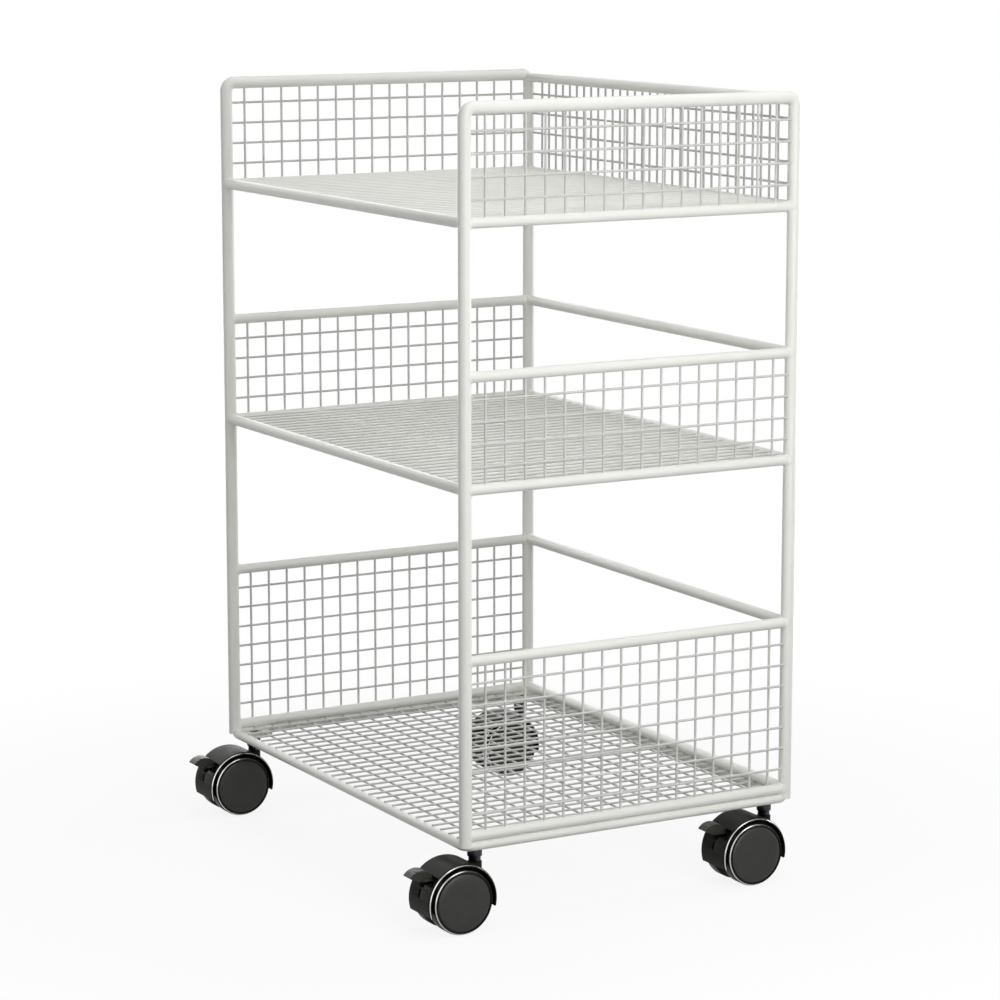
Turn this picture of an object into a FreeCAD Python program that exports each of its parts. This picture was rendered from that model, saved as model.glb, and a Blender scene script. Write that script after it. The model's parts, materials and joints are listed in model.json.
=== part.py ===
import FreeCAD, Part
import Sketcher
import os

# Three-tier wire rolling cart. Open long side faces -Y, +Z is up.
# The origin is on the floor, halfway between the pedal tips in front and the posts at the back.
# All sizes are in millimetres.
SIZES = {
    # Frame, measured between the axes of the posts and from the floor
    "post_spacing_x": 387.5,
    "post_spacing_y": 275.5,
    "frame_bottom_height": 59,
    "top_rail_height": 589,
    "upper_shelf_height": 509.5,
    "middle_rail_height": 401.5,
    "lower_shelf_height": 321.5,
    "lower_rail_height": 198,
    # Tubes and rods
    "hoop_diameter": 9.5,
    "hoop_wall": 1,
    "hoop_bend_radius": 6.5,
    "rail_diameter": 8,
    "rail_wall": 0.8,
    "ring_diameter": 7,
    "ring_corner_radius": 6,
    # Wire mesh, shelf decks and floor grid
    "mesh_wire_diameter": 1.8,
    "mesh_outset": 0.6,
    "weld_sink": 0.3,
    "back_wire_pitch": 11.1,
    "deck_wire_diameter": 2.2,
    "deck_wire_rise": 2.8,
    "deck_bar_diameter": 3,
    "deck_bar_spacing": 130,
    "floor_wire_diameter": 1.6,
    # Caster mounting on the frame
    "caster_inset_x": 9,
    "caster_inset_y": 12.5,
    "plate_thickness": 4,
    "plate_lift": 1.5,
    "stem_thread_diameter": 8,
    "collar_diameter": 10.5,
    "collar_height": 5,
    "neck_diameter": 9,
    "pin_diameter": 7,
    "pin_end_height": 30,
    "snap_groove_diameter": 5.6,
    "snap_groove_height": 1.2,
    "snap_groove_lift": 2.4,
    "snap_ring_diameter": 8.6,
    "snap_pocket_diameter": 9.2,
    # Caster hood, wheels and brake pedal, measured from the axle
    "caster_trail": 18,
    "caster_width": 36,
    "wheel_diameter": 48,
    "wheel_shoulder": 1.5,
    "wheel_shoulder_drop": 1,
    "wheel_face_diameter": 42.4,
    "wheel_face_slope": 3,
    "wheel_face_rise": 0.7,
    "wheel_groove_diameter": 44.8,
    "wheel_groove_depth": 1,
    "wheel_hub_diameter": 16,
    "wheel_recess_diameter": 38,
    "wheel_recess_depth": 5.5,
    "wheel_bore_depth": 8,
    "axle_diameter": 5,
    "hood_width": 33,
    "hood_gap": 2.2,
    "hood_wall": 1.8,
    "hood_edge_chamfer": 0.8,
    "hood_rear_end": 6,
    "hood_rear_start": 8,
    "hood_front_end": 8.5,
    "web_thickness": 12,
    "boss_diameter": 10.5,
    "boss_height": 24.5,
    "pedal_pivot_forward": 11,
    "pedal_pivot_up": 15.5,
    "pedal_trunnion_diameter": 3,
    "pedal_trunnion_length": 10.8,
    "pedal_hub_diameter": 6,
    "pedal_arm_width": 6,
    "pedal_arm_forward": 28,
    "pedal_arm_top": 18.8,
    "pedal_width": 10.5,
    "pedal_tip_forward": 37.5,
    "pedal_tip_up": 20.3,
    "pedal_half_length": 8.9,
    "pedal_crown": 4.5,
    "pedal_belly": 3.1,
    "pedal_slot_floor": 11,
    "pedal_slot_top": 20.2,
    "pedal_slot_back": 7,
    "pedal_window_floor": 13.6,
    "pedal_window_back": 17.5,
    "pedal_window_width": 29,
    "front_slit_width": 2.4,
    "front_slit_floor": 3.8,
    "front_slit_top": 10.2,
    "front_slit_depth": 3,
    # Clearances
    "running_clearance": 0.05,
    "side_clearance": 0.3,
    "wheel_clearance": 0.6,
}

# Wire counts
SIDE_WIRES = 16
UPPER_ROWS = 4
MIDDLE_ROWS = 4
LOWER_ROWS = 7
BACK_WIRES = 32
DECK_WIRES = 30
DECK_BARS = 2
FLOOR_CROSS_WIRES = 16

QUARTER_TURN = 90
HALF_TURN = 180

doc = FreeCAD.newDocument("rolling_cart")
sheet = doc.addObject("Spreadsheet::Sheet", "sizes")
for row, (size_name, size_value) in enumerate(SIZES.items(), start=1):
    sheet.set(f"A{row}", size_name)
    sheet.set(f"B{row}", str(size_value))
    sheet.setAlias(f"B{row}", size_name)
doc.recompute()

X = FreeCAD.Vector(1, 0, 0)
Y = FreeCAD.Vector(0, 1, 0)
Z = FreeCAD.Vector(0, 0, 1)
ALONG = {
    "x": FreeCAD.Rotation(Y, QUARTER_TURN),
    "y": FreeCAD.Rotation(X, -QUARTER_TURN),
    "z": FreeCAD.Rotation(),
}
NODES = {}


def cells(text):
    """Turn the size names in a formula into sheet references."""
    for name in sorted(SIZES, key=len, reverse=True):
        text = text.replace("{" + name + "}", "sizes." + name)
    return text


def bind(item, **formulas):
    """Bind properties to formulas of the sheet; a double underscore stands for a dot."""
    for name, text in formulas.items():
        item.setExpression(name.replace("__", "."), cells(text))
    return item


def put(item, x="0", y="0", z="0", turn=None):
    """Place an item by formulas, with an optional fixed turn."""
    if turn is not None:
        item.Placement = FreeCAD.Placement(FreeCAD.Vector(), turn)
    return bind(item, Placement__Base__x=x, Placement__Base__y=y, Placement__Base__z=z)


def rod(name, axis, diameter, length, x="0", y="0", z="0"):
    """A solid cylinder that starts at the given point and runs along an axis."""
    item = doc.addObject("Part::Cylinder", name)
    bind(item, Radius=f"({diameter}) / 2", Height=length)
    return put(item, x, y, z, ALONG[axis])


def cone(name, near_diameter, far_diameter, length, x):
    """A truncated cone along X."""
    item = doc.addObject("Part::Cone", name)
    bind(item, Radius1=f"({near_diameter}) / 2", Radius2=f"({far_diameter}) / 2", Height=length)
    return put(item, x=x, turn=ALONG["x"])


def bend(name, radius, diameter, x, y, z, turn):
    """A quarter of a torus."""
    item = doc.addObject("Part::Torus", name)
    bind(item, Radius1=radius, Radius2=f"({diameter}) / 2")
    item.Angle3 = QUARTER_TURN
    return put(item, x, y, z, turn)


def block(name, width, low_y, high_y, low_z, high_z):
    """A box that is symmetric about the plane x = 0."""
    item = doc.addObject("Part::Box", name)
    bind(item, Length=width, Width=f"({high_y}) - ({low_y})", Height=f"({high_z}) - ({low_z})")
    return put(item, f"-({width}) / 2", low_y, low_z)


def fuse(name, items):
    item = doc.addObject("Part::MultiFuse", name)
    item.Shapes = items
    return item


def cut(name, base, tool):
    item = doc.addObject("Part::Cut", name)
    item.Base = base
    item.Tool = tool
    return item


def copy_of(name, master):
    """A copy of a finished shape that has a placement of its own."""
    item = doc.addObject("Part::Compound", name)
    item.Links = [master]
    return item


def node(label, item):
    """Hand an item in as a sub-part under its own label."""
    item.Label = label
    NODES[label] = item
    return item


# Side hoops: two posts, two bends and a top run, all swept along one line
HALF_X = "{post_spacing_x} / 2"
CENTRE_Y = "(({caster_trail} + {pedal_tip_forward} - {caster_inset_y} - {hoop_diameter} / 2) / 2)"
FRONT_Y = f"({CENTRE_Y} - {{post_spacing_y}} / 2)"
BACK_Y = f"({CENTRE_Y} + {{post_spacing_y}} / 2)"
RING_AXIS = "({frame_bottom_height} + {ring_diameter} / 2)"
BASE_RAIL_AXIS = "({frame_bottom_height} + {ring_diameter} + {rail_diameter} / 2)"
HOOP_BORE = "{hoop_diameter} - 2 * {hoop_wall}"
RAIL_BORE = "{rail_diameter} - 2 * {rail_wall}"
BACK_BEND = FreeCAD.Rotation(Y, Z, X, "XYZ")
FRONT_BEND = FreeCAD.Rotation(Z, -Y, X, "XYZ")


def hoop_line(name, x, diameter):
    post_length = f"{{top_rail_height}} - {{hoop_bend_radius}} - {RING_AXIS}"
    bend_z = "{top_rail_height} - {hoop_bend_radius}"
    front_bend_y = FRONT_Y + " + {hoop_bend_radius}"
    back_bend_y = BACK_Y + " - {hoop_bend_radius}"
    run = "{post_spacing_y} - 2 * {hoop_bend_radius}"
    radius = "{hoop_bend_radius}"
    return fuse(name, [
        rod(name + "_front_post", "z", diameter, post_length, x, FRONT_Y, RING_AXIS),
        rod(name + "_back_post", "z", diameter, post_length, x, BACK_Y, RING_AXIS),
        bend(name + "_front_bend", radius, diameter, x, front_bend_y, bend_z, FRONT_BEND),
        bend(name + "_back_bend", radius, diameter, x, back_bend_y, bend_z, BACK_BEND),
        rod(name + "_top_run", "y", diameter, run, x, front_bend_y, "{top_rail_height}"),
    ])


# Base ring: one rod bent round under the four posts
def base_ring():
    corner = "{ring_corner_radius}"
    run_x = "{post_spacing_x} - 2 * {ring_corner_radius}"
    run_y = "{post_spacing_y} - 2 * {ring_corner_radius}"
    edge_x = "({post_spacing_x} / 2 - {ring_corner_radius})"
    front_y = FRONT_Y + " + {ring_corner_radius}"
    back_y = BACK_Y + " - {ring_corner_radius}"
    thick = "{ring_diameter}"
    items = [
        rod("ring_front", "x", thick, run_x, "-" + edge_x, FRONT_Y, RING_AXIS),
        rod("ring_back", "x", thick, run_x, "-" + edge_x, BACK_Y, RING_AXIS),
        rod("ring_left", "y", thick, run_y, "-" + HALF_X, front_y, RING_AXIS),
        rod("ring_right", "y", thick, run_y, HALF_X, front_y, RING_AXIS),
    ]
    corners = [(edge_x, back_y), ("-" + edge_x, back_y), ("-" + edge_x, front_y), (edge_x, front_y)]
    for count, (x, y) in enumerate(corners):
        turn = FreeCAD.Rotation(Z, count * QUARTER_TURN)
        items.append(bend(f"ring_corner_{count}", corner, thick, x, y, RING_AXIS, turn))
    return fuse("base_ring_rod", items)


ring = node("base_ring", base_ring())
hoops = {}
for side, side_x in (("left", "-" + HALF_X), ("right", HALF_X)):
    hoops[side] = hoop_line(side + "_hoop_solid", side_x, "{hoop_diameter}")
    bore = hoop_line(side + "_hoop_bore", side_x, HOOP_BORE)
    tube = cut(side + "_hoop_tube", hoops[side], bore)
    node(side + "_side_hoop", cut(side + "_hoop_coped", tube, ring))
both_hoops = fuse("both_hoops", [hoops["left"], hoops["right"]])


# Rails: tubes that run from post to post, coped to the hoops and to the side rails that they meet
def rail(label, axis, length, x, y, z, posts):
    solid = rod(label + "_solid", axis, "{rail_diameter}", length, x, y, z)
    bore = rod(label + "_bore", axis, RAIL_BORE, length, x, y, z)
    node(label, cut(label + "_coped", cut(label + "_tube", solid, bore), posts))
    return solid


LEVELS = {
    "upper_shelf": "{upper_shelf_height}",
    "middle": "{middle_rail_height}",
    "lower_shelf": "{lower_shelf_height}",
    "lower": "{lower_rail_height}",
    "base": BASE_RAIL_AXIS,
}
rails = {}
for level, height in LEVELS.items():
    for side, side_x in (("left", "-" + HALF_X), ("right", HALF_X)):
        rails[side, level] = rail(f"{side}_{level}_rail", "y", "{post_spacing_y}",
                                  side_x, FRONT_Y, height, hoops[side])
    sides = fuse(level + "_sides", [both_hoops, rails["left", level], rails["right", level]])
    rails["back", level] = rail(f"back_{level}_rail", "x", "{post_spacing_x}",
                                "-" + HALF_X, BACK_Y, height, sides)
    if level in ("upper_shelf", "lower_shelf"):
        rails["front", level] = rail(f"front_{level}_rail", "x", "{post_spacing_x}",
                                     "-" + HALF_X, FRONT_Y, height, sides)
BEND_STEP = "{hoop_bend_radius} * (1 - cos(45))"
rails["back", "top"] = rail("back_top_rail", "x", "{post_spacing_x}", "-" + HALF_X,
                            BACK_Y + " - " + BEND_STEP, "{top_rail_height} - " + BEND_STEP, both_hoops)


# Wire panels: patterned round wires in two layers that are welded where they cross
def origin_part(body, role):
    return next(item for item in body.Origin.OriginFeatures if item.Role == role)


def wires(body, tag, plane, across, up, diameter, length, axis, span, count):
    """Pad one wire on both sides of a plane of the body and repeat it along an axis."""
    sketch = body.newObject("Sketcher::SketchObject", f"{body.Name}_{tag}_sketch")
    sketch.AttachmentSupport = [(origin_part(body, plane), "")]
    sketch.MapMode = "FlatFace"
    sketch.addGeometry(Part.Circle(FreeCAD.Vector(), Z, 1), False)
    sketch.addConstraint(Sketcher.Constraint("Coincident", 0, 3, -1, 1))
    sketch.addConstraint(Sketcher.Constraint("Radius", 0, 1))
    sketch.setExpression("Constraints[1]", cells(f"({diameter}) / 2"))
    bind(sketch, AttachmentOffset__Base__x=across, AttachmentOffset__Base__y=up)
    pad = body.newObject("PartDesign::Pad", f"{body.Name}_{tag}_pad")
    pad.Profile = sketch
    pad.Midplane = True
    bind(pad, Length=length)
    pattern = body.newObject("PartDesign::LinearPattern", f"{body.Name}_{tag}_pattern")
    pattern.Originals = [pad]
    pattern.Direction = (origin_part(body, axis), [""])
    pattern.Occurrences = count
    bind(pattern, Length=span)
    body.Tip = pattern
    pad.Refine = False
    pattern.Refine = False
    return pattern


def panel(label, width, rows_height, columns, pitch, rows, x, y, z, turn, edges):
    """An upright mesh panel; its local X points out of the cart and Y runs along the panel."""
    body = doc.addObject("PartDesign::Body", label + "_mesh_wires")
    thick = "{mesh_wire_diameter}"
    row_pitch = f"({rows_height}) / {rows + 1}"
    outer = "{mesh_outset} + {mesh_wire_diameter} - {weld_sink}"
    wires(body, "upright", "XY_Plane", "{mesh_outset}", f"-({pitch}) * {columns - 1} / 2", thick,
          rows_height, "Y_Axis", f"({pitch}) * {columns - 1}", columns)
    wires(body, "level", "XZ_Plane", outer, f"-({row_pitch}) * {rows - 1} / 2", thick,
          width, "Z_Axis", f"({row_pitch}) * {rows - 1}", rows)
    put(body, x, y, z, turn)
    return node(label, cut(label + "_trimmed", body, edges))


TIERS = {
    "upper": ("upper_shelf", "{top_rail_height}", UPPER_ROWS),
    "middle": ("lower_shelf", "{middle_rail_height}", MIDDLE_ROWS),
    "lower": ("base", "{lower_rail_height}", LOWER_ROWS),
}
SIDE_PITCH = f"{{post_spacing_y}} / {SIDE_WIRES + 1}"
OUT_LEFT = FreeCAD.Rotation(Z, HALF_TURN)
OUT_BACK = FreeCAD.Rotation(Z, QUARTER_TURN)
side_edges = fuse("side_edges", [hoops["right"]] + [rails["right", level] for level in LEVELS])
for tier, (foot, head, rows) in TIERS.items():
    tier_height = f"({head}) - {LEVELS[foot]}"
    tier_middle = f"(({head}) + {LEVELS[foot]}) / 2"
    right_panel = panel(f"right_{tier}_mesh", "{post_spacing_y}", tier_height, SIDE_WIRES, SIDE_PITCH,
                        rows, HALF_X, CENTRE_Y, tier_middle, None, side_edges)
    left_panel = copy_of(f"left_{tier}_mesh_copy", right_panel)
    node(f"left_{tier}_mesh", put(left_panel, y="2 * " + CENTRE_Y, turn=OUT_LEFT))
back_edges = fuse("back_edges", [both_hoops, rails["back", "top"], rails["back", "upper_shelf"]])
panel("back_upper_mesh", "{post_spacing_x}", "{top_rail_height} - {upper_shelf_height}", BACK_WIRES,
      "{back_wire_pitch}", UPPER_ROWS, "0", BACK_Y, "({top_rail_height} + {upper_shelf_height}) / 2",
      OUT_BACK, back_edges)


# Shelf decks and floor grid: wires from front to back, with cross wires under them
def deck(label, height, rise, wire, bar, bars, bar_spacing, edges):
    body = doc.addObject("PartDesign::Body", label + "_deck_wires")
    pitch = f"{{post_spacing_x}} / {DECK_WIRES + 1}"
    bar_rise = f"({rise}) - ({wire}) / 2 - ({bar}) / 2 + {{weld_sink}}"
    wires(body, "wire", "XZ_Plane", f"-({pitch}) * {DECK_WIRES - 1} / 2", rise, wire,
          "{post_spacing_y}", "X_Axis", f"({pitch}) * {DECK_WIRES - 1}", DECK_WIRES)
    wires(body, "bar", "YZ_Plane", f"-({bar_spacing}) * {bars - 1} / 2", bar_rise, bar,
          "{post_spacing_x}", "Y_Axis", f"({bar_spacing}) * {bars - 1}", bars)
    put(body, y=CENTRE_Y, z=height)
    return node(label, cut(label + "_trimmed", body, edges))


deck_edges = fuse("deck_edges", [rails[side, "upper_shelf"] for side in ("left", "right", "back", "front")])
upper_deck = deck("upper_shelf_deck", "{upper_shelf_height}", "{deck_wire_rise}", "{deck_wire_diameter}",
                  "{deck_bar_diameter}", DECK_BARS, "{deck_bar_spacing}", deck_edges)
lower_deck = copy_of("lower_shelf_deck_copy", upper_deck)
node("lower_shelf_deck", put(lower_deck, z="{lower_shelf_height} - {upper_shelf_height}"))
floor_edges = fuse("floor_edges", [ring] + [rails[side, "base"] for side in ("left", "right", "back")])
FLOOR_RISE = "{ring_diameter} / 2 + {floor_wire_diameter} / 2 - {weld_sink}"
deck("floor_grid", RING_AXIS, FLOOR_RISE, "{floor_wire_diameter}", "{floor_wire_diameter}",
     FLOOR_CROSS_WIRES, f"{{post_spacing_y}} / {FLOOR_CROSS_WIRES + 1}", floor_edges)

# Caster mountings: a corner plate inside the ring, a threaded stem and a snap ring
LEFT_STEM = f"({{caster_inset_x}} - {HALF_X})"
RIGHT_STEM = f"({HALF_X} - {{caster_inset_x}})"
FRONT_STEM = f"({FRONT_Y} + {{caster_inset_y}})"
BACK_STEM = f"({BACK_Y} - {{caster_inset_y}})"
CORNERS = {
    "front_left": (LEFT_STEM, FRONT_STEM),
    "front_right": (RIGHT_STEM, FRONT_STEM),
    "back_left": (LEFT_STEM, BACK_STEM),
    "back_right": (RIGHT_STEM, BACK_STEM),
}
PLATE_BOTTOM = "({frame_bottom_height} + {plate_lift})"
COLLAR_BOTTOM = f"({PLATE_BOTTOM} - {{collar_height}})"
BOSS_TOP = "({wheel_diameter} / 2 + {boss_height})"
SHOULDER = f"({BOSS_TOP} + {{side_clearance}})"
GROOVE_BOTTOM = "({pin_end_height} + {snap_groove_lift})"


def group(label, name, items):
    """One node of equal pieces, each with a placement of its own."""
    item = doc.addObject("Part::Compound", name + "_set")
    item.Links = items
    return node(label, item)


def at_stems(name, master):
    return [put(copy_of(f"{corner}_{name}", master), x, y) for corner, (x, y) in CORNERS.items()]


def washer(name, axis, outside, inside, length, x="0", z="0"):
    """A flat ring."""
    return cut(name, rod(name + "_outside", axis, outside, length, x, z=z),
               rod(name + "_inside", axis, inside, length, x, z=z))


plates = []
for corner, (x, y) in CORNERS.items():
    plate = doc.addObject("Part::Box", corner + "_plate_blank")
    bind(plate, Length="2 * {caster_inset_x}", Width="2 * {caster_inset_y}", Height="{plate_thickness}")
    put(plate, x + " - {caster_inset_x}", y + " - {caster_inset_y}", PLATE_BOTTOM)
    hole = rod(corner + "_plate_hole", "z", "{stem_thread_diameter}", "{plate_thickness}",
               x, y, PLATE_BOTTOM)
    plates.append(cut(corner + "_plate", cut(corner + "_plate_drilled", plate, hole), ring))
group("caster_corner_plates", "plate", plates)

stem_blank = fuse("stem_blank", [
    rod("stem_thread", "z", "{stem_thread_diameter}", "{plate_thickness}", z=PLATE_BOTTOM),
    rod("stem_collar", "z", "{collar_diameter}", "{collar_height}", z=COLLAR_BOTTOM),
    rod("stem_neck", "z", "{neck_diameter}", f"{COLLAR_BOTTOM} - {SHOULDER}", z=SHOULDER),
    rod("stem_pin", "z", "{pin_diameter}", f"{SHOULDER} - {{pin_end_height}}", z="{pin_end_height}"),
])
groove = washer("stem_groove", "z", "{collar_diameter}", "{snap_groove_diameter}",
                "{snap_groove_height}", z=GROOVE_BOTTOM)
group("caster_stems", "stem", at_stems("stem", cut("stem_turned", stem_blank, groove)))
snap_ring = washer("snap_ring_turned", "z", "{snap_ring_diameter}", "{snap_groove_diameter}",
                   "{snap_groove_height}", z=GROOVE_BOTTOM)
group("stem_snap_rings", "snap_ring", at_stems("snap_ring", snap_ring))

# Caster hood: a fender over both wheels, a web between them and a boss for the stem
HOOD_OUTSIDE = "({wheel_diameter} + 2 * {hood_gap} + 2 * {hood_wall})"
HOOD_INSIDE = "({wheel_diameter} + 2 * {hood_gap})"
SIDE_SPACE = "(({hood_width} - {web_thickness}) / 2)"
REACH = "{caster_width}"
PIVOT_Y = "-{pedal_pivot_forward}"
ARM_SLOT = "({pedal_arm_width} + 2 * {side_clearance})"
POCKET_TOP = f"({GROOVE_BOTTOM} + {{snap_groove_height}} + {{side_clearance}} - {{wheel_diameter}} / 2)"

hood_edge = f"{HOOD_OUTSIDE} - 2 * {{hood_edge_chamfer}}"
hood_blank = fuse("hood_blank", [
    rod("hood_barrel", "x", HOOD_OUTSIDE, "{hood_width} - 2 * {hood_edge_chamfer}",
        x="{hood_edge_chamfer} - {hood_width} / 2"),
    cone("hood_left_edge", hood_edge, HOOD_OUTSIDE, "{hood_edge_chamfer}", "-{hood_width} / 2"),
    cone("hood_right_edge", HOOD_OUTSIDE, hood_edge, "{hood_edge_chamfer}",
         "{hood_width} / 2 - {hood_edge_chamfer}"),
    rod("hood_boss", "z", "{boss_diameter}", "{boss_height}", y="{caster_trail}"),
])
hood_space = fuse("hood_space", [
    rod("hood_left_space", "x", HOOD_INSIDE, SIDE_SPACE, x="-{hood_width} / 2"),
    rod("hood_right_space", "x", HOOD_INSIDE, SIDE_SPACE, x="{web_thickness} / 2"),
    block("hood_rear_cut", REACH, "{hood_rear_start}", REACH, "-" + REACH, "-{hood_rear_end}"),
    block("hood_foot_cut", REACH, "-" + REACH, REACH, "-" + REACH, "-{hood_front_end}"),
    rod("hood_pin_bore", "z", "{pin_diameter} + 2 * {running_clearance}", "{boss_height}",
        y="{caster_trail}"),
    rod("hood_snap_pocket", "z", "{snap_pocket_diameter}", f"{POCKET_TOP} + {REACH}",
        y="{caster_trail}", z="-" + REACH),
    rod("hood_axle_bore", "x", "{axle_diameter}", REACH, x=f"-{REACH} / 2"),
    rod("hood_trunnion_bore", "x", "{pedal_trunnion_diameter} + 2 * {running_clearance}", REACH,
        x=f"-{REACH} / 2", y=PIVOT_Y, z="{pedal_pivot_up}"),
    block("hood_arm_slot", ARM_SLOT, "-" + REACH, "-{pedal_slot_back}",
          "{pedal_slot_floor}", "{pedal_slot_top}"),
    block("hood_window", "{pedal_window_width}", "-" + REACH, "-{pedal_window_back}",
          "{pedal_window_floor}", "{pedal_slot_top}"),
    block("hood_slit", "{front_slit_width}", "-" + REACH, f"{{front_slit_depth}} - {HOOD_OUTSIDE} / 2",
          "{front_slit_floor}", "{front_slit_top}"),
])
hood = cut("hood_finished", hood_blank, hood_space)

# Axle: runs through the web and carries one wheel on each end
WHEEL_START = "({web_thickness} / 2 + {wheel_clearance})"
AXLE_LENGTH = f"(2 * ({WHEEL_START} + {{wheel_bore_depth}} - {{side_clearance}}))"
axle = rod("axle_pin", "x", "{axle_diameter}", AXLE_LENGTH, x=f"-{AXLE_LENGTH} / 2")

# Wheel: tread with two shoulders, a raised face behind a ring groove, a hub and a recess inside
WHEEL_EDGE = "({caster_width} / 2 - {wheel_face_rise})"
TREAD_WIDTH = f"{WHEEL_EDGE} - {WHEEL_START} - 2 * {{wheel_shoulder}}"
shoulder_diameter = "{wheel_diameter} - 2 * {wheel_shoulder_drop}"
wheel_blank = fuse("wheel_blank", [
    rod("wheel_tread", "x", "{wheel_diameter}", TREAD_WIDTH, x=f"{WHEEL_START} + {{wheel_shoulder}}"),
    cone("wheel_inner_shoulder", shoulder_diameter, "{wheel_diameter}", "{wheel_shoulder}", WHEEL_START),
    cone("wheel_outer_shoulder", "{wheel_diameter}", shoulder_diameter, "{wheel_shoulder}",
         f"{WHEEL_EDGE} - {{wheel_shoulder}}"),
    cone("wheel_face", "{wheel_face_diameter}", "{wheel_face_diameter} - 2 * {wheel_face_slope}",
         "{wheel_face_rise}", WHEEL_EDGE),
])
wheel_recess = washer("wheel_recess", "x", "{wheel_recess_diameter}", "{wheel_hub_diameter}",
                      "{wheel_recess_depth}", x=WHEEL_START)
wheel_groove = washer("wheel_groove", "x", "{wheel_groove_diameter}", "{wheel_face_diameter}",
                      "{wheel_groove_depth}", x=f"{WHEEL_EDGE} - {{wheel_groove_depth}}")
wheel_bore = rod("wheel_bore", "x", "{axle_diameter} + 2 * {running_clearance}", "{wheel_bore_depth}",
                 x=WHEEL_START)
wheel = cut("wheel_turned", wheel_blank, fuse("wheel_space", [wheel_recess, wheel_groove, wheel_bore]))

# Brake pedal: a lens-shaped tongue, and an arm that turns on two trunnions
def tongue_curve(name, rise, centre_z):
    """A cylinder along X whose arc stands a given rise above or below the tongue's tips."""
    radius = f"(({{pedal_half_length}}^2 + {rise}^2) / (2 * {rise}))"
    return rod(name, "x", "2 * " + radius, "{pedal_width}", "-{pedal_width} / 2",
               "{pedal_half_length} - {pedal_tip_forward}", centre_z.replace("radius", radius))


tongue = doc.addObject("Part::Common", "pedal_tongue")
tongue.Base = tongue_curve("tongue_crown", "{pedal_crown}", "{pedal_tip_up} + {pedal_crown} - radius")
tongue.Tool = tongue_curve("tongue_belly", "{pedal_belly}", "{pedal_tip_up} - {pedal_belly} + radius")
pedal = fuse("pedal_finished", [
    tongue,
    block("pedal_arm", "{pedal_arm_width}", "-{pedal_arm_forward}", PIVOT_Y,
          "{pedal_pivot_up}", "{pedal_arm_top}"),
    rod("pedal_hub", "x", "{pedal_hub_diameter}", "{pedal_arm_width}", "-{pedal_arm_width} / 2",
        PIVOT_Y, "{pedal_pivot_up}"),
    rod("pedal_trunnions", "x", "{pedal_trunnion_diameter}", "{pedal_trunnion_length}",
        "-{pedal_trunnion_length} / 2", PIVOT_Y, "{pedal_pivot_up}"),
])

# Four casters that trail towards the front
for corner, (x, y) in CORNERS.items():
    for piece, master, turn in (
        ("caster_hood", hood, None),
        ("caster_axle", axle, None),
        ("right_wheel", wheel, None),
        ("left_wheel", wheel, FreeCAD.Rotation(Z, HALF_TURN)),
        ("brake_pedal", pedal, None),
    ):
        item = copy_of(f"{corner}_{piece}_copy", master)
        put(item, x, y + " - {caster_trail}", "{wheel_diameter} / 2", turn)
        node(f"{corner}_{piece}", item)

doc.recompute()

# Check the whole document, then write one file per sub-part
for item in doc.Objects:
    if "Invalid" in item.State or "Error" in item.State:
        raise RuntimeError(f"{item.Name} did not recompute: {item.State}")
os.makedirs("parts", exist_ok=True)
for label, item in NODES.items():
    shape = item.Shape
    if shape.isNull() or not shape.isValid() or not shape.Solids:
        raise RuntimeError(f"{label} has no valid solid")
    shape.exportStep(f"parts/{label}.step")
    print(label, len(shape.Solids), round(shape.Volume, 1))
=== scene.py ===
import json
import math

import bmesh
import bpy
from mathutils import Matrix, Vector


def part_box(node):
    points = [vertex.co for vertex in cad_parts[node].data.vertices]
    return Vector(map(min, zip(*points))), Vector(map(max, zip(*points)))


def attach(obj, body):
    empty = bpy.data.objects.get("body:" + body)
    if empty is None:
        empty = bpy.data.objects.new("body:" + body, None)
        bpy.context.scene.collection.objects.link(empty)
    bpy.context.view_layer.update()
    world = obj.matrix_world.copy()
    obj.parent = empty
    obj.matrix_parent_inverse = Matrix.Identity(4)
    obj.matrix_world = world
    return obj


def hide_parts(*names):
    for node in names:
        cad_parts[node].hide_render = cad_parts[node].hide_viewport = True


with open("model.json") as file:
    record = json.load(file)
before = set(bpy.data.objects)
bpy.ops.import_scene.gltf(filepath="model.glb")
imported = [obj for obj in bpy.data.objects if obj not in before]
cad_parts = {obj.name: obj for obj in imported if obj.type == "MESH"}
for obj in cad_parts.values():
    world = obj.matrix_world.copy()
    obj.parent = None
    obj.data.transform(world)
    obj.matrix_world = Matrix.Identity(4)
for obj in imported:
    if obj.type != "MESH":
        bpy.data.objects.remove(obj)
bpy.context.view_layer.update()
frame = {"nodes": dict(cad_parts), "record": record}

# Looks of a white wire rolling cart: powder-coated steel, black plastic casters, studio light.
# All places are in metres in the frame of the CAD model; sizes are written in millimetres.
MM = 0.001
CORNERS = ("front_left", "front_right", "back_left", "back_right")
SIDES = {"left": -1, "right": 1}
QUARTER_TURN = math.pi / 2
HALF_TURN = math.pi

# Posts and rails
POST_X = 193.75 * MM
FRONT_Y = -118.625 * MM
BACK_Y = 156.875 * MM
POST_RADIUS = 4.75 * MM
RAIL_RADIUS = 4 * MM
TOP_RAIL = 589 * MM
RAIL_HEIGHTS = {
    "upper_shelf": 509.5 * MM,
    "middle": 401.5 * MM,
    "lower_shelf": 321.5 * MM,
    "lower": 198 * MM,
    "base": 70 * MM,
}
FRONT_RAILS = ("upper_shelf", "lower_shelf")

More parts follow.
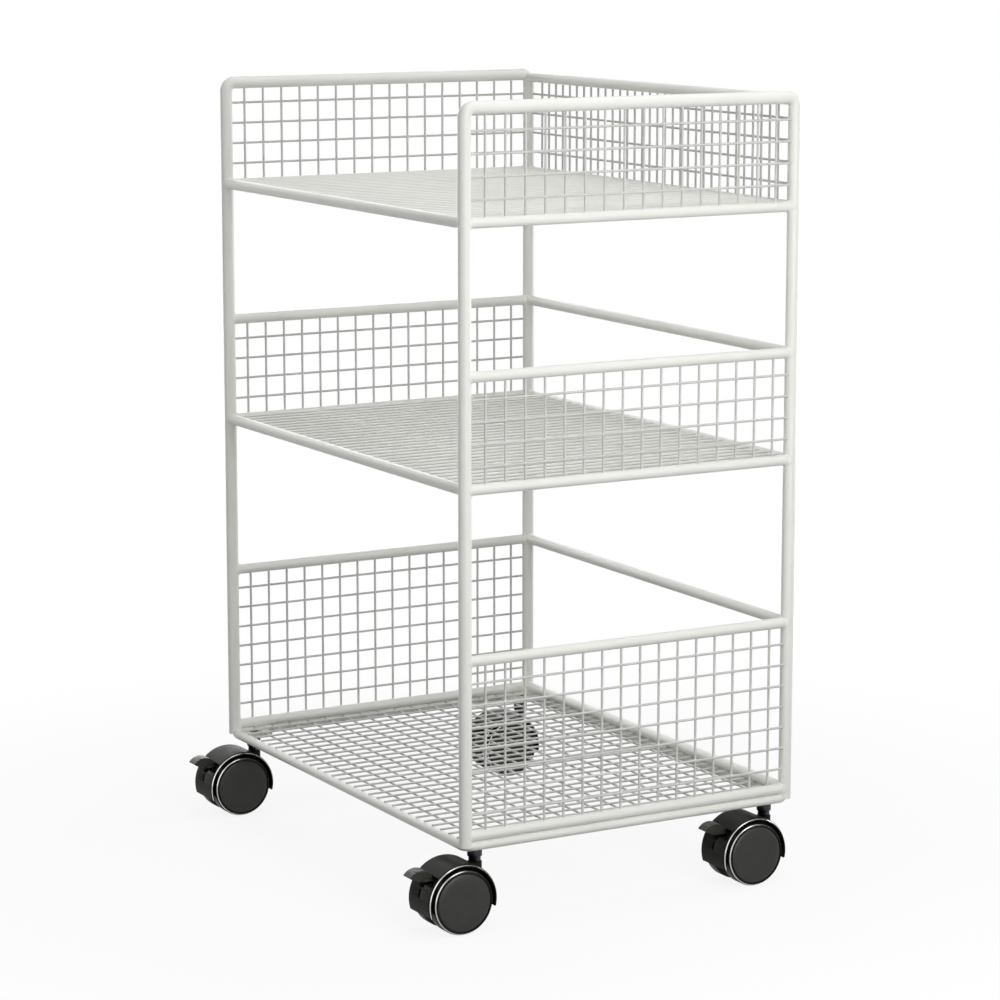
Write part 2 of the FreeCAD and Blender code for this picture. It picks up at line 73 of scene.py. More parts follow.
# Mesh panels: foot, head and number of level wires of each tier, and the planes where the wires cross
SIDE_TIERS = {
    "upper": (RAIL_HEIGHTS["upper_shelf"], TOP_RAIL, 4),
    "middle": (RAIL_HEIGHTS["lower_shelf"], RAIL_HEIGHTS["middle"], 4),
    "lower": (RAIL_HEIGHTS["base"], RAIL_HEIGHTS["lower"], 7),
}
SIDE_WIRES = 16
BACK_WIRES = 32
BACK_PITCH = 11.1 * MM
WIRE_CROSSING = 1.35 * MM
SIDE_CROSSING = POST_X + WIRE_CROSSING
BACK_CROSSING = BACK_Y + WIRE_CROSSING

# Welds: a bead lies round the rail with a small gap, and reaches nearly as far as the post is wide
BEAD_RADIUS = 0.85 * MM
BEAD_GAP = 0.05 * MM
BEAD_REACH = POST_RADIUS * 0.98
BEAD_SEGMENTS = 40
BEAD_SIDES = 10
NUGGET_RADIUS = 1.25 * MM
NUGGET_SEGMENTS = 8
NUGGET_RINGS = 5
NUGGET_FLATNESS = 0.72
NUGGET_FACING = 0.3

# Caster wheel, measured from the axle; the steps are inset and rise in millimetres, from the tread inwards
WHEEL_RADIUS = 24 * MM
WHEEL_INNER_FACE = 6.6 * MM
TREAD_END = 15.5 * MM
TREAD_ROUND = 1 * MM
TREAD_STEPS = ((0.15, 0.4), (0.45, 0.65))
# The rim line step is the chamfer that carries the painted highlight.
RIM_LINE_STEP = (0.5, 0.75)
LIP_STEPS = ((0.15, 0.05), (0.35, 0))
RIM_STEPS = TREAD_STEPS + (RIM_LINE_STEP,) + LIP_STEPS
GROOVE_DEPTH = 1 * MM
GROOVE_WIDTH = 1.2 * MM
CAP_LIFT = 0.6 * MM
CAP_STEPS = ((0.2, 0.3), (0.5, 0.3), (1.2, 0.26), (3, 0.2), (6, 0.05), (6, 0.02))
HOLLOW_RADIUS = 19 * MM
HOLLOW_DEPTH = 5.5 * MM
HUB_RADIUS = 8 * MM
BORE_RADIUS = 2.55 * MM
BORE_DEPTH = 8 * MM


def inset_of(steps):
    """How far inwards a row of steps goes."""
    return sum(inset for inset, rise in steps) * MM


RIM_LINE_OUTER = WHEEL_RADIUS - inset_of(TREAD_STEPS)
RIM_LINE_INNER = RIM_LINE_OUTER - inset_of((RIM_LINE_STEP,))
CAP_RADIUS = WHEEL_RADIUS - inset_of(RIM_STEPS) - GROOVE_WIDTH

# Caster hood, measured from the axle
HOOD_RADIUS = 28 * MM
HOOD_INSIDE = 26.2 * MM
HOOD_HALF = 16.5 * MM
HOOD_EDGE_STEP = (0.5, 0.85)
# The hood line step is the chamfer that carries the painted highlight.
HOOD_LINE_STEP = (0.45, 0.75)
HOOD_LINE_OUTER = HOOD_RADIUS - inset_of((HOOD_EDGE_STEP,))
HOOD_LINE_INNER = HOOD_LINE_OUTER - inset_of((HOOD_LINE_STEP,))
HOOD_LINE_START = HOOD_HALF - HOOD_LINE_STEP[1] * MM
HOOD_BARREL_HALF = HOOD_LINE_START - HOOD_EDGE_STEP[1] * MM
WEB_HALF = 6 * MM
FRONT_END = -8.5 * MM
REAR_END = -6 * MM
REAR_START = 8 * MM
REAR_TAPER = (0, 0.94, -0.34)
STEM_BACK = 18 * MM
BOSS_RADIUS = 5.25 * MM
BOSS_TOP = 24.5 * MM
RING_ROOM_RADIUS = 4.6 * MM
RING_ROOM_TOP = 9.9 * MM
RING_ROOM_DEPTH = 40 * MM
PEDAL_SLOT_TOP = 20.2 * MM
ARM_SLOT_HALF = 3.3 * MM
ARM_SLOT_FOOT = 11 * MM
ARM_SLOT_BACK = -7 * MM
TONGUE_SLOT_HALF = 14.5 * MM
TONGUE_SLOT_FOOT = 13.6 * MM
TONGUE_SLOT_BACK = -17.5 * MM
SLIT_HALF = 1.2 * MM
SLIT_FOOT = 3.8 * MM
SLIT_TOP = 10.2 * MM
SLIT_BACK = -25 * MM

# Brake pedal, measured from the axle: a tongue between two arcs, and its arm and pin
PIN_Y = -11 * MM
PIN_Z = 15.5 * MM
ARM_HALF = 3 * MM
ARM_TIP = -28 * MM
ARM_TOP = 18.8 * MM
TONGUE_Y = -28.6 * MM
TONGUE_WIDTH = 10.5 * MM
TONGUE_TOP_RADIUS = 11.05 * MM
TONGUE_TOP_CENTRE = 13.75 * MM
TONGUE_UNDER_RADIUS = 14.33 * MM
TONGUE_UNDER_CENTRE = 31.53 * MM

# Caster stem: radius, foot and head of each turned length, measured from the floor
STEM_PIN = (3.5 * MM, 30 * MM, 49 * MM)
STEM_NECK = (4.5 * MM, 48.8 * MM, 52.8 * MM)
STEM_COLLAR = (5.5 * MM, 52.5 * MM, 60.5 * MM)
STEM_SPIGOT = (4 * MM, 60.2 * MM, 64.4 * MM)

# Workshop values: cutting tools run past the piece, and edges are broken by a small radius
CUT_REACH = 60 * MM
CUT_OVER = 5 * MM
SOFT_EDGE = 0.5 * MM
ROUND_SEGMENTS = 3
TOUCH = 0.1 * MM
NEAR_AXLE = 1 * MM
FACING = 0.99
WHEEL_SIDES = 96
HOOD_SIDES = 128
TONGUE_TOP_SIDES = 160
TONGUE_UNDER_SIDES = 192
COLLAR_SIDES = 64
PIN_SIDES = 48


# Small helpers for modelling
def fresh():
    """Deselect everything, so that the next operator acts on its own piece alone."""
    bpy.ops.object.select_all(action="DESELECT")


def pick(piece):
    """Make a piece the only selected and the active one."""
    fresh()
    piece.select_set(True)
    bpy.context.view_layer.objects.active = piece


def settle():
    """Put the active piece's place and turn into its mesh."""
    bpy.ops.object.transform_apply(location=True, rotation=True, scale=True)
    return bpy.context.active_object


def cylinder(radius, length, place, axis, sides):
    """A closed cylinder centred on a point, along X or Z."""
    fresh()
    turn = (0, QUARTER_TURN, 0) if axis == "X" else (0, 0, 0)
    bpy.ops.mesh.primitive_cylinder_add(vertices=sides, radius=radius, depth=length,
                                        end_fill_type="NGON", location=place, rotation=turn)
    return settle()


def block(low, high):
    """A box between two corners."""
    low = Vector(low)
    high = Vector(high)
    fresh()
    bpy.ops.mesh.primitive_cube_add(size=1, location=(low + high) / 2)
    bpy.context.active_object.scale = high - low
    return settle()


def apply_modifier(piece, kind, **settings):
    """Add a modifier, set it and apply it."""
    pick(piece)
    modifier = piece.modifiers.new(kind.title(), kind)
    for name, value in settings.items():
        setattr(modifier, name, value)
    bpy.ops.object.modifier_apply(modifier=modifier.name)


def carve(piece, tool, operation="DIFFERENCE"):
    """Cut a tool out of a piece, or join or intersect them, and throw the tool away."""
    apply_modifier(piece, "BOOLEAN", operation=operation, solver="EXACT", object=tool)
    bpy.data.objects.remove(tool)


def edit(kind):
    """Go into edit mode to work on faces or edges."""
    bpy.ops.object.mode_set(mode="EDIT")
    bpy.ops.mesh.select_mode(type=kind)


def leave_edit():
    """Go back to object mode."""
    bpy.ops.object.mode_set(mode="OBJECT")


def choose_faces(test):
    """Select the faces whose centre and normal pass a test."""
    bpy.ops.mesh.select_all(action="DESELECT")
    mesh = bmesh.from_edit_mesh(bpy.context.edit_object.data)
    for face in mesh.faces:
        if test(face.calc_center_median(), face.normal):
            face.select_set(True)
    bmesh.update_edit_mesh(bpy.context.edit_object.data)


def choose_edges(test):
    """Select the edges whose two ends pass a test."""
    bpy.ops.mesh.select_all(action="DESELECT")
    mesh = bmesh.from_edit_mesh(bpy.context.edit_object.data)
    for edge in mesh.edges:
        if test(edge.verts[0].co) and test(edge.verts[1].co):
            edge.select_set(True)
    bmesh.update_edit_mesh(bpy.context.edit_object.data)


def push(distance):
    """Extrude the selected faces along X."""
    bpy.ops.mesh.extrude_region_move(TRANSFORM_OT_translate={"value": (distance, 0, 0)})


def step_in(steps):
    """Inset the selected faces step by step, each with its own rise."""
    for inset, rise in steps:
        bpy.ops.mesh.inset(thickness=inset * MM, depth=rise * MM)


def smooth(piece, angle):
    """Shade a piece smooth, apart from edges steeper than an angle in degrees."""
    pick(piece)
    bpy.ops.object.shade_smooth_by_angle(angle=math.radians(angle))


def soften(piece, steepest):
    """Round the edges of a moulded or turned piece that are steeper than an angle in degrees."""
    apply_modifier(piece, "BEVEL", width=SOFT_EDGE, segments=ROUND_SEGMENTS, limit_method="ANGLE",
                   angle_limit=math.radians(steepest), use_clamp_overlap=True)
    smooth(piece, angle=30)


def off_axle(point):
    """Distance of a point from the wheel axle, which runs along X."""
    return math.hypot(point.y, point.z)


def paint_ring(piece, index, axle, inner, outer, start, end=math.inf):
    """Give one of the piece's materials to a ring of faces: between two distances from the axle, and
    between two distances from the middle of the caster. A face counts by the mean of its corners."""
    for face in piece.data.polygons:
        points = [piece.data.vertices[corner].co - axle for corner in face.vertices]
        radius = sum(off_axle(point) for point in points) / len(points)
        out = abs(sum(point.x for point in points)) / len(points)
        if inner < radius < outer and start < out < end:
            face.material_index = index


def duplicate(pattern, name):
    """A copy of a pattern with its own mesh."""
    piece = pattern.copy()
    piece.data = pattern.data.copy()
    piece.name = name
    bpy.context.scene.collection.objects.link(piece)
    return piece


def copy_to(pattern, name, place, turn=0):
    """A copy of a pattern, turned about Z and moved to its place."""
    piece = duplicate(pattern, name)
    pick(piece)
    piece.location = place
    piece.rotation_euler = (0, 0, turn)
    return settle()


def joined(pieces, name):
    """Join pieces into one object."""
    fresh()
    for piece in pieces:
        piece.select_set(True)
    bpy.context.view_layer.objects.active = pieces[0]
    bpy.ops.object.join()
    pieces[0].name = name
    return pieces[0]


# Materials
NOISE_LOW = 0.3
NOISE_HIGH = 0.7


def colour(code):
    """An sRGB hex colour as linear red, green, blue and alpha."""
    values = [int(code[place:place + 2], 16) / 255 for place in (1, 3, 5)]
    return [v / 12.92 if v <= 0.04045 else ((v + 0.055) / 1.055) ** 2.4 for v in values] + [1]


def per_size(size_mm):
    """Texture scale that gives features of a real size."""
    return 1 / (size_mm * MM)


def add_node(tree, kind, settings=None, links=None):
    """Add a node, set its values and connect its inputs."""
    node = tree.nodes.new(kind)
    for name, value in (settings or {}).items():
        if name in node.inputs:
            node.inputs[name].default_value = value
        else:
            setattr(node, name, value)
    for name, source in (links or {}).items():
        tree.links.new(source, node.inputs[name])
    return node


def bare_material(name):
    """A material with an empty node tree."""
    material = bpy.data.materials.new(name)
    material.use_nodes = True
    material.node_tree.nodes.clear()
    return material, material.node_tree


def surface(name, base, tint, blotch_mm, rough, grain_mm, grain_depth_mm, metallic=0.0, specular=0.5):
    """A surface with slow colour changes, uneven gloss and a fine raised grain."""
    material, tree = bare_material(name)
    shader = add_node(tree, "ShaderNodeBsdfPrincipled",
                      {"Metallic": metallic, "Specular IOR Level": specular})
    add_node(tree, "ShaderNodeOutputMaterial", links={"Surface": shader.outputs["BSDF"]})
    place = add_node(tree, "ShaderNodeTexCoord").outputs["Object"]
    blotch = add_node(tree, "ShaderNodeTexNoise", {"Scale": per_size(blotch_mm), "Detail": 3.0},
                      {"Vector": place})
    ramp = add_node(tree, "ShaderNodeValToRGB", links={"Fac": blotch.outputs["Fac"]})
    ramp.color_ramp.elements[0].position = NOISE_LOW
    ramp.color_ramp.elements[1].position = NOISE_HIGH
    ramp.color_ramp.elements[0].color = colour(tint)
    ramp.color_ramp.elements[1].color = colour(base)
    tree.links.new(ramp.outputs["Color"], shader.inputs["Base Color"])
    gloss = add_node(tree, "ShaderNodeMapRange",
                     {"From Min": NOISE_LOW, "From Max": NOISE_HIGH, "To Min": rough[0], "To Max": rough[1]},
                     {"Value": blotch.outputs["Fac"]})
    tree.links.new(gloss.outputs["Result"], shader.inputs["Roughness"])
    grain = add_node(tree, "ShaderNodeTexNoise", {"Scale": per_size(grain_mm), "Detail": 2.0},
                     {"Vector": place})
    bump = add_node(tree, "ShaderNodeBump", {"Strength": 1.0, "Distance": grain_depth_mm * MM},
                    {"Height": grain.outputs["Fac"]})
    tree.links.new(bump.outputs["Normal"], shader.inputs["Normal"])
    return material


# Gloss powder coat on steel tube: clean white with a faint orange peel that breaks up the highlights.
tube_coat = surface("white_powder_coat_on_tube", base="#f4f4ef", tint="#f1f1eb", blotch_mm=40,
                    rough=(0.28, 0.31), grain_mm=1.6, grain_depth_mm=0.01, specular=0.35)
# The same powder on thin wire, drawn greyer than on the tubes as painted shade so that the wires read
# darker, with a little lower gloss.
shade_greyed_wire_coat = surface("white_powder_coat_on_wire_greyed_as_painted_shade", base="#dadad6", tint="#d3d3cf", blotch_mm=14,
                    rough=(0.32, 0.38), grain_mm=1.2, grain_depth_mm=0.012, specular=0.3)
# The shelf wires and the spot welds are as white as the tubes: they don't get the painted shade of the mesh
# wires.
shelf_coat = surface("white_powder_coat_on_shelf_wire", base="#f3f3ee", tint="#eeeee8", blotch_mm=18,
                     rough=(0.3, 0.35), grain_mm=1.4, grain_depth_mm=0.01, specular=0.35)
# Spark-textured ABS of the hoods: almost black with a hint of green and a dull sheen. The grain is really
# about 0.3 mm and is drawn coarser so that it shows.
hood_plastic = surface("black_textured_abs", base="#1f201b", tint="#191a15", blotch_mm=9,
                       rough=(0.38, 0.46), grain_mm=0.8, grain_depth_mm=0.04, specular=0.05)
# Moulded nylon of the wheels: black, with patches that are a little lighter and smoother.
wheel_nylon = surface("black_moulded_nylon", base="#0f0f0d", tint="#141411", blotch_mm=5,
                      rough=(0.42, 0.52), grain_mm=0.7, grain_depth_mm=0.03, specular=0.18)
# Satin cap moulded into the wheel face: dark grey, smoother than the tread.
cap_plastic = surface("grey_satin_wheel_cap", base="#30312c", tint="#2b2c27", blotch_mm=11,
                      rough=(0.36, 0.42), grain_mm=0.9, grain_depth_mm=0.01, specular=0.3)
# Bright metal painted on the chamfer of the rims as a highlight: a thin bright line that stands in for the
# light the rounded rims catch.
painted_rim_highlight = surface("painted_rim_highlight_metal", base="#c4c4c1", tint="#b4b4b1", blotch_mm=6,
                   rough=(0.2, 0.28), grain_mm=0.9, grain_depth_mm=0.01, metallic=1.0)
# Polypropylene of the pedals: dark olive grey with a soft sheen.
pedal_plastic = surface("olive_grey_polypropylene", base="#2e3029", tint="#272922", blotch_mm=6,
                        rough=(0.38, 0.46), grain_mm=0.7, grain_depth_mm=0.04, specular=0.25)
# Blackened steel of the stems: smooth and turned, with a grey highlight.
stem_steel = surface("blackened_turned_steel", base="#424346", tint="#323336", blotch_mm=3,
                     rough=(0.26, 0.36), grain_mm=0.5, grain_depth_mm=0.01, metallic=1.0)
# Zinc plating of axles and snap rings: bright, slightly cloudy.
zinc_steel = surface("zinc_plated_steel", base="#c2c5c9", tint="#aeb1b4", blotch_mm=4,
                     rough=(0.3, 0.42), grain_mm=0.6, grain_depth_mm=0.01, metallic=1.0)

FINISHES = {
    "white_coated_tube": tube_coat,
    # The mesh wires get the coat that is greyed as painted shade.
    "white_coated_wire": shade_greyed_wire_coat,
    "black_stem_steel": stem_steel,
    "zinc_plated_steel": zinc_steel,
    "black_hood_plastic": hood_plastic,
    "black_wheel_nylon": wheel_nylon,
    "dark_pedal_plastic": pedal_plastic,
}
for part in frame["record"]["subparts"]:
    node = frame["nodes"][part["node"]]
    if not node.material_slots:
        node.data.materials.append(None)
    for slot in node.material_slots:
        slot.material = shelf_coat if part["node"].endswith("_deck") else FINISHES[part["material_slot"]]


def dress(piece, body, slot, *materials):
    """Give a finished piece its materials and body. The slot is not used."""
    piece.data.materials.clear()
    for material in materials:
        piece.data.materials.append(material)
    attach(piece, body)


# Weld beads where the rails meet the posts
def weld_bead():
    """A ring of weld round a rail end, bent to the round post. The post is along Z, the rail along X."""
    fresh()
    bpy.ops.mesh.primitive_torus_add(major_radius=RAIL_RADIUS + BEAD_GAP, minor_radius=BEAD_RADIUS,
                                     major_segments=BEAD_SEGMENTS, minor_segments=BEAD_SIDES,
                                     rotation=(0, QUARTER_TURN, 0))
    bead = settle()
    for vertex in bead.data.vertices:
        across = min(abs(vertex.co.y), BEAD_REACH)
        vertex.co.x += math.sqrt(POST_RADIUS ** 2 - across ** 2)
    smooth(bead, angle=60)
    return bead


def place_welds():
    """A bead at both ends of the side rails, of the back rails at the same levels and of the front rails."""
    pattern = weld_bead()
    beads = []
    for level, height in RAIL_HEIGHTS.items():
        for side in SIDES.values():
            front_post = (side * POST_X, FRONT_Y, height)
            back_post = (side * POST_X, BACK_Y, height)
            inward = 0 if side < 0 else HALF_TURN
            beads.append(copy_to(pattern, "weld_bead", front_post, QUARTER_TURN))
            beads.append(copy_to(pattern, "weld_bead", back_post, -QUARTER_TURN))
            beads.append(copy_to(pattern, "weld_bead", back_post, inward))
            if level in FRONT_RAILS:
                beads.append(copy_to(pattern, "weld_bead", front_post, inward))
    bpy.data.objects.remove(pattern)
    welds = joined(beads, "rail_weld_beads")
    dress(welds, "cart_frame", "white_coated_tube", tube_coat)


place_welds()


# Spot welds where the mesh wires cross
def spot_weld():
    """A small nugget that the electrodes squeezed flat on its two faces along X."""
    fresh()
    bpy.ops.mesh.primitive_uv_sphere_add(segments=NUGGET_SEGMENTS, ring_count=NUGGET_RINGS,
                                         radius=NUGGET_RADIUS)
    nugget = bpy.context.active_object
    edit("FACE")
    choose_faces(lambda centre, normal: abs(normal.x) > NUGGET_FACING)
    bpy.ops.transform.resize(value=(NUGGET_FLATNESS, 1, 1), center_override=(0, 0, 0))
    leave_edit()
    smooth(nugget, angle=80)
    return nugget


def place_nuggets(name, places, turn):
    """One object with a nugget at each place; the turn points the nuggets out of the panel."""
    pattern = spot_weld()
    nuggets = []
    for place in places:
        nugget = duplicate(pattern, "spot_weld")
        nugget.rotation_euler = (0, 0, turn)
        nugget.location = place
        nuggets.append(nugget)
    bpy.data.objects.remove(pattern)
    welds = joined(nuggets, name)
    pick(welds)
    settle()
    dress(welds, "cart_frame", "white_coated_wire", shelf_coat)


def between(low, high, count):
    """Evenly spaced places between two ends, ends left out."""
    return [low + (high - low) * step / (count + 1) for step in range(1, count + 1)]


for side_name, side in SIDES.items():
    for tier, (foot, head, rows) in SIDE_TIERS.items():
        crossings = [(side * SIDE_CROSSING, y, z)
                     for z in between(foot, head, rows) for y in between(FRONT_Y, BACK_Y, SIDE_WIRES)]
        place_nuggets(f"{side_name}_{tier}_spot_welds", crossings, 0)
back_columns = [(step - (BACK_WIRES - 1) / 2) * BACK_PITCH for step in range(BACK_WIRES)]
upper_foot, upper_head, upper_rows = SIDE_TIERS["upper"]
back_crossings = [(x, BACK_CROSSING, z)
                  for z in between(upper_foot, upper_head, upper_rows) for x in back_columns]
place_nuggets("back_upper_spot_welds", back_crossings, QUARTER_TURN)


# Caster wheel
def caster_wheel():
    """The right wheel: rounded tread, a rim line that is painted bright as a highlight, ring groove, domed
    cap, hollow back and bore.
    """
    wheel = cylinder(WHEEL_RADIUS, TREAD_END - WHEEL_INNER_FACE,
                     ((WHEEL_INNER_FACE + TREAD_END) / 2, 0, 0), "X", WHEEL_SIDES)
    edit("EDGE")
    choose_edges(lambda point: point.x < WHEEL_INNER_FACE + TOUCH)
    bpy.ops.mesh.bevel(offset=TREAD_ROUND, segments=ROUND_SEGMENTS, affect="EDGES")
    bpy.ops.mesh.select_mode(type="FACE")
    choose_faces(lambda centre, normal: normal.x > FACING and off_axle(centre) < NEAR_AXLE)
    step_in(RIM_STEPS)
    push(-GROOVE_DEPTH)
    bpy.ops.mesh.inset(thickness=GROOVE_WIDTH)
    push(CAP_LIFT)
    step_in(CAP_STEPS)
    choose_faces(lambda centre, normal: normal.x < -FACING and off_axle(centre) < NEAR_AXLE)
    bpy.ops.mesh.inset(thickness=WHEEL_RADIUS - TREAD_ROUND - HOLLOW_RADIUS)
    bpy.ops.mesh.inset(thickness=HOLLOW_RADIUS - HUB_RADIUS)
    choose_faces(lambda centre, normal: normal.x < -FACING and HUB_RADIUS < off_axle(centre) < HOLLOW_RADIUS)
    push(HOLLOW_DEPTH)
    choose_faces(lambda centre, normal: normal.x < -FACING and off_axle(centre) < NEAR_AXLE)
    bpy.ops.mesh.inset(thickness=HUB_RADIUS - BORE_RADIUS)
    push(BORE_DEPTH)
    leave_edit()
    smooth(wheel, angle=25)
    return wheel


# Caster hood
def cut_slot(hood, half, foot, top, back):
    """Cut a slot into the hood from the front, as deep as a place behind it."""
    carve(hood, block((-half, -CUT_REACH, foot), (half, back, top)))


def fender_hood():
    """Fender shell with two stepped rims, whose line is later painted bright as a highlight, a web between
    the wheels and a stem boss, open below, with the pedal's slots and a slit in the front and a tapered rear
    end."""
    hood = cylinder(HOOD_RADIUS, 2 * HOOD_BARREL_HALF, (0, 0, 0), "X", HOOD_SIDES)
    edit("FACE")
    choose_faces(lambda centre, normal: abs(normal.x) > FACING)
    step_in((HOOD_EDGE_STEP, HOOD_LINE_STEP))
    leave_edit()
    carve(hood, cylinder(BOSS_RADIUS, BOSS_TOP, (0, STEM_BACK, BOSS_TOP / 2), "Z", PIN_SIDES), "UNION")
    pocket = HOOD_HALF - WEB_HALF + CUT_OVER
    for side in SIDES.values():
        carve(hood, cylinder(HOOD_INSIDE, pocket, (side * (WEB_HALF + pocket / 2), 0, 0), "X", HOOD_SIDES))
    carve(hood, block((-CUT_REACH, -CUT_REACH, -CUT_REACH), (CUT_REACH, CUT_REACH, FRONT_END)))
    carve(hood, block((-CUT_REACH, REAR_START, -CUT_REACH), (CUT_REACH, CUT_REACH, REAR_END)))
    cut_slot(hood, ARM_SLOT_HALF, ARM_SLOT_FOOT, PEDAL_SLOT_TOP, ARM_SLOT_BACK)
    cut_slot(hood, TONGUE_SLOT_HALF, TONGUE_SLOT_FOOT, PEDAL_SLOT_TOP, TONGUE_SLOT_BACK)
    cut_slot(hood, SLIT_HALF, SLIT_FOOT, SLIT_TOP, SLIT_BACK)
    ring_room = (0, STEM_BACK, RING_ROOM_TOP - RING_ROOM_DEPTH / 2)
    carve(hood, cylinder(RING_ROOM_RADIUS, RING_ROOM_DEPTH, ring_room, "Z", PIN_SIDES))
    edit("FACE")
    bpy.ops.mesh.select_all(action="SELECT")
    bpy.ops.mesh.bisect(plane_co=(0, HOOD_INSIDE, REAR_END), plane_no=REAR_TAPER,
                        clear_outer=True, use_fill=True)
    leave_edit()
    soften(hood, steepest=65)
    return hood


# Brake pedal
def brake_pedal():
    """A curved tongue on an arm, with a round boss for its pin."""
    top_centre = (0, TONGUE_Y, TONGUE_TOP_CENTRE)
    under_centre = (0, TONGUE_Y, TONGUE_UNDER_CENTRE)
    tongue = cylinder(TONGUE_TOP_RADIUS, TONGUE_WIDTH, top_centre, "X", TONGUE_TOP_SIDES)
    under = cylinder(TONGUE_UNDER_RADIUS, TONGUE_WIDTH + CUT_OVER, under_centre, "X", TONGUE_UNDER_SIDES)
    carve(tongue, under, "INTERSECT")
    carve(tongue, block((-ARM_HALF, ARM_TIP, PIN_Z), (ARM_HALF, PIN_Y, ARM_TOP)), "UNION")
    carve(tongue, cylinder(ARM_HALF, 2 * ARM_HALF, (0, PIN_Y, PIN_Z), "X", PIN_SIDES), "UNION")
    soften(tongue, steepest=40)
    return tongue


# Caster stem
def turned_length(section, sides):
    """One turned length of the stem."""
    radius, foot, head = section
    return cylinder(radius, head - foot, (0, 0, (foot + head) / 2), "Z", sides)


def caster_stem():
    """A pin with a neck, a collar under the corner plate and a spigot in the plate."""
    stem = turned_length(STEM_PIN, PIN_SIDES)
    carve(stem, turned_length(STEM_NECK, COLLAR_SIDES), "UNION")
    carve(stem, turned_length(STEM_COLLAR, COLLAR_SIDES), "UNION")
    carve(stem, turned_length(STEM_SPIGOT, PIN_SIDES), "UNION")
    soften(stem, steepest=40)
    return stem


# The four casters
wheel_pattern = caster_wheel()
hood_pattern = fender_hood()
pedal_pattern = brake_pedal()
stem_pattern = caster_stem()
stems = []
for corner in CORNERS:
    low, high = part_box(f"{corner}_caster_axle")
    axle = (low + high) / 2
    for side_name, side in SIDES.items():
        turn = HALF_TURN if side < 0 else 0
        wheel = copy_to(wheel_pattern, f"{corner}_{side_name}_twin_wheel", axle, turn)
        dress(wheel, f"{corner}_{side_name}_wheel", "black_wheel_nylon", wheel_nylon, painted_rim_highlight, cap_plastic)
        # The wheel's rim line gets bright metal as a painted highlight.
        paint_ring(wheel, 1, axle, RIM_LINE_INNER, RIM_LINE_OUTER, TREAD_END)
        paint_ring(wheel, 2, axle, 0, CAP_RADIUS + TOUCH, TREAD_END)
        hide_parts(f"{corner}_{side_name}_wheel")
    hood = copy_to(hood_pattern, f"{corner}_fender_hood", axle)
    dress(hood, f"{corner}_caster", "black_hood_plastic", hood_plastic, painted_rim_highlight)
    # The hood's rim line gets bright metal as a painted highlight.
    paint_ring(hood, 1, axle, HOOD_LINE_INNER, HOOD_LINE_OUTER, HOOD_LINE_START, HOOD_HALF - TOUCH)
    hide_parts(f"{corner}_caster_hood")
    pedal = copy_to(pedal_pattern, f"{corner}_pedal_tongue", axle)
    dress(pedal, f"{corner}_brake_pedal", "dark_pedal_plastic", pedal_plastic)
    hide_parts(f"{corner}_brake_pedal")
    stems.append(copy_to(stem_pattern, f"{corner}_turned_stem", (axle.x, axle.y + STEM_BACK, 0)))
turned_stems = joined(stems, "turned_caster_stems")
dress(turned_stems, "cart_frame", "black_stem_steel", stem_steel)
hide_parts("caster_stems")
for pattern in (wheel_pattern, hood_pattern, pedal_pattern, stem_pattern):
    bpy.data.objects.remove(pattern)

# Floor and world: white where they are seen, dim where they light the cart. The cart's shadow fades into
# the white between two distances from the middle of the floor.
FLOOR_SIZE = 12
FLOOR_DROP = 0.2 * MM
SHADOW_START = 0.25
SHADOW_END = 0.75
SHADOW_GLOW = 0.88
WORLD_FILL = 0.06


def seen_white(tree):
    """1 for the rays that meet plain white: from the camera, off a reflection or through something clear."""
    rays = add_node(tree, "ShaderNodeLightPath").outputs
    direct = add_node(tree, "ShaderNodeMath", {"operation": "MAXIMUM"},
                      {0: rays["Is Camera Ray"], 1: rays["Is Glossy Ray"]})
    clear = add_node(tree, "ShaderNodeMath", {"operation": "MAXIMUM"},
                     {0: direct.outputs["Value"], 1: rays["Is Transmission Ray"]})
    return clear.outputs["Value"]


def floor_paint():
    """White studio floor: near white to the camera and in reflections, with a soft shadow left in it."""
    material, tree = bare_material("white_studio_floor")
    place = add_node(tree, "ShaderNodeTexCoord").outputs["Object"]
    reach = add_node(tree, "ShaderNodeVectorMath", {"operation": "LENGTH"}, {0: place})
    fade = add_node(tree, "ShaderNodeMapRange",
                    {"interpolation_type": "SMOOTHSTEP", "From Min": SHADOW_START, "From Max": SHADOW_END,
                     "To Min": SHADOW_GLOW, "To Max": 1.0}, {"Value": reach.outputs["Value"]})
    matt = add_node(tree, "ShaderNodeBsdfDiffuse", {"Color": colour("#f4f4f4")})
    glow = add_node(tree, "ShaderNodeEmission", {"Color": colour("#ffffff"), "Strength": 1.0})
    white = add_node(tree, "ShaderNodeMixShader", links={0: fade.outputs["Result"], 1: matt.outputs["BSDF"],
                                                         2: glow.outputs["Emission"]})
    bounce = add_node(tree, "ShaderNodeBsdfDiffuse", {"Color": colour("#5a5a5a")})
    both = add_node(tree, "ShaderNodeMixShader", links={0: seen_white(tree), 1: bounce.outputs["BSDF"],
                                                        2: white.outputs["Shader"]})
    add_node(tree, "ShaderNodeOutputMaterial", links={"Surface": both.outputs["Shader"]})
    return material


fresh()
bpy.ops.mesh.primitive_plane_add(size=FLOOR_SIZE, location=(0, 0, -FLOOR_DROP))
floor = settle()
floor.name = "studio_floor"
floor.data.materials.append(floor_paint())

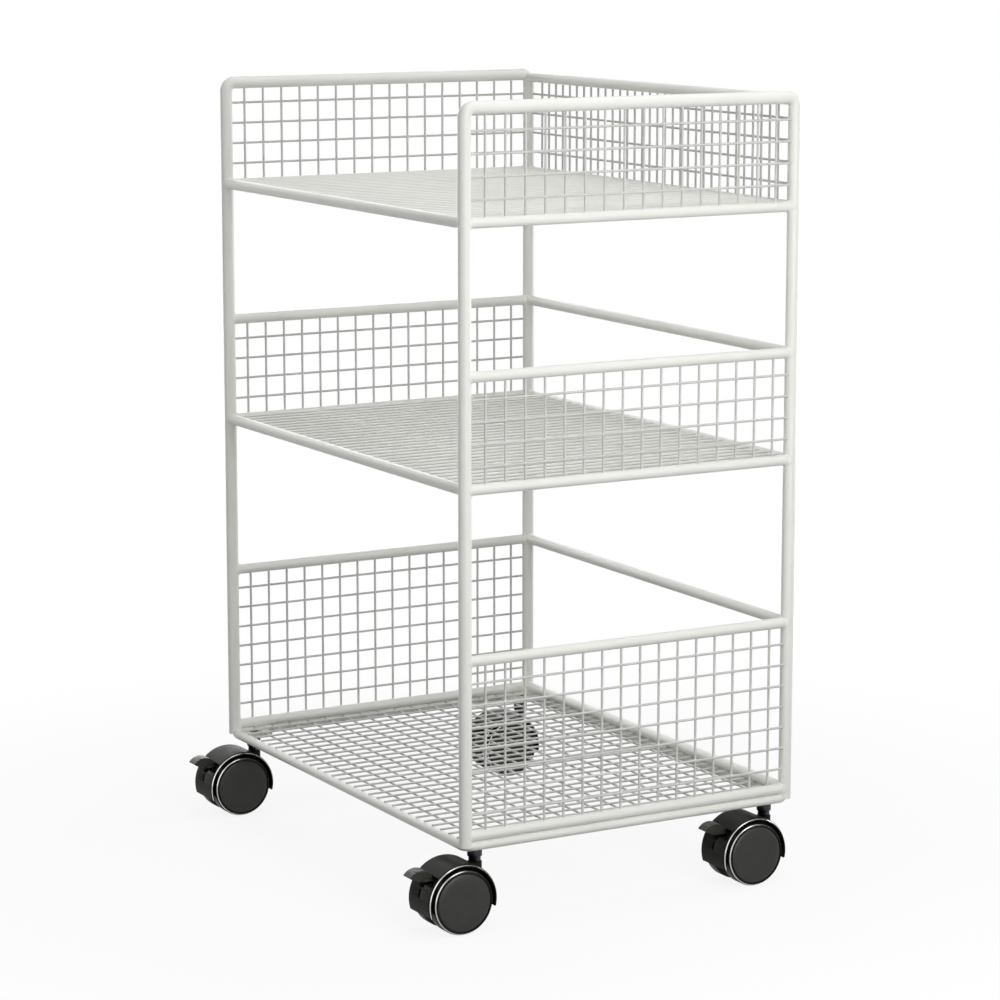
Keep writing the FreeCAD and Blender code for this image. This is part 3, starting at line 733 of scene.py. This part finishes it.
scene = bpy.context.scene
world = bpy.data.worlds.new("white_studio")
scene.world = world
world.use_nodes = True
sky = world.node_tree
sky.nodes.clear()
dim = add_node(sky, "ShaderNodeBackground", {"Color": colour("#ffffff"), "Strength": WORLD_FILL})
white = add_node(sky, "ShaderNodeBackground", {"Color": colour("#ffffff"), "Strength": 1.0})
backdrop = add_node(sky, "ShaderNodeMixShader", links={0: seen_white(sky), 1: dim.outputs["Background"],
                                                       2: white.outputs["Background"]})
add_node(sky, "ShaderNodeOutputWorld", links={"Surface": backdrop.outputs["Shader"]})


# Lamps
def softbox(name, place, aim, width, height, watts):
    """A rectangular soft lamp that looks at a point and isn't seen by the camera."""
    lamp = bpy.data.lights.new(name, "AREA")
    lamp.shape = "RECTANGLE"
    lamp.size = width
    lamp.size_y = height
    lamp.energy = watts
    holder = bpy.data.objects.new(name, lamp)
    scene.collection.objects.link(holder)
    holder.location = place
    holder.rotation_euler = (Vector(aim) - Vector(place)).to_track_quat("-Z", "Y").to_euler()
    holder.visible_camera = False


CART_MIDDLE = (0, 0, 0.3)
softbox("right_softbox", place=(0.95, 0.02, 0.5), aim=(0.15, 0.02, 0.2), width=0.5, height=1.1, watts=6.6)
softbox("top_softbox", place=(0.1, 0.15, 1.6), aim=CART_MIDDLE, width=1, height=1, watts=7.2)
softbox("front_softbox", place=(0.02, -0.85, 0.4), aim=(0, -0.1, 0.28), width=0.8, height=0.9, watts=2.3)
softbox("left_softbox", place=(-1.5, 0.1, 0.5), aim=CART_MIDDLE, width=1.5, height=1.3, watts=12.5)
softbox("back_softbox", place=(-0.1, 1.7, 0.5), aim=CART_MIDDLE, width=0.9, height=0.9, watts=11)

# Camera at the photograph's viewing angle, fitted to the crossings of posts and rails
LENS_LENGTH = 120.17
SENSOR_WIDTH = 36
CAMERA_PLACE = (2.2144, -1.2369, 0.7246)
CAMERA_TILT = math.radians(79.942)
CAMERA_TURN = math.radians(60.425)
lens = bpy.data.cameras.new("photo_camera")
lens.lens = LENS_LENGTH
lens.sensor_width = SENSOR_WIDTH
camera = bpy.data.objects.new("photo_camera", lens)
scene.collection.objects.link(camera)
camera.location = CAMERA_PLACE
camera.rotation_euler = (CAMERA_TILT, 0, CAMERA_TURN)
scene.camera = camera
scene.view_settings.view_transform = "Standard"
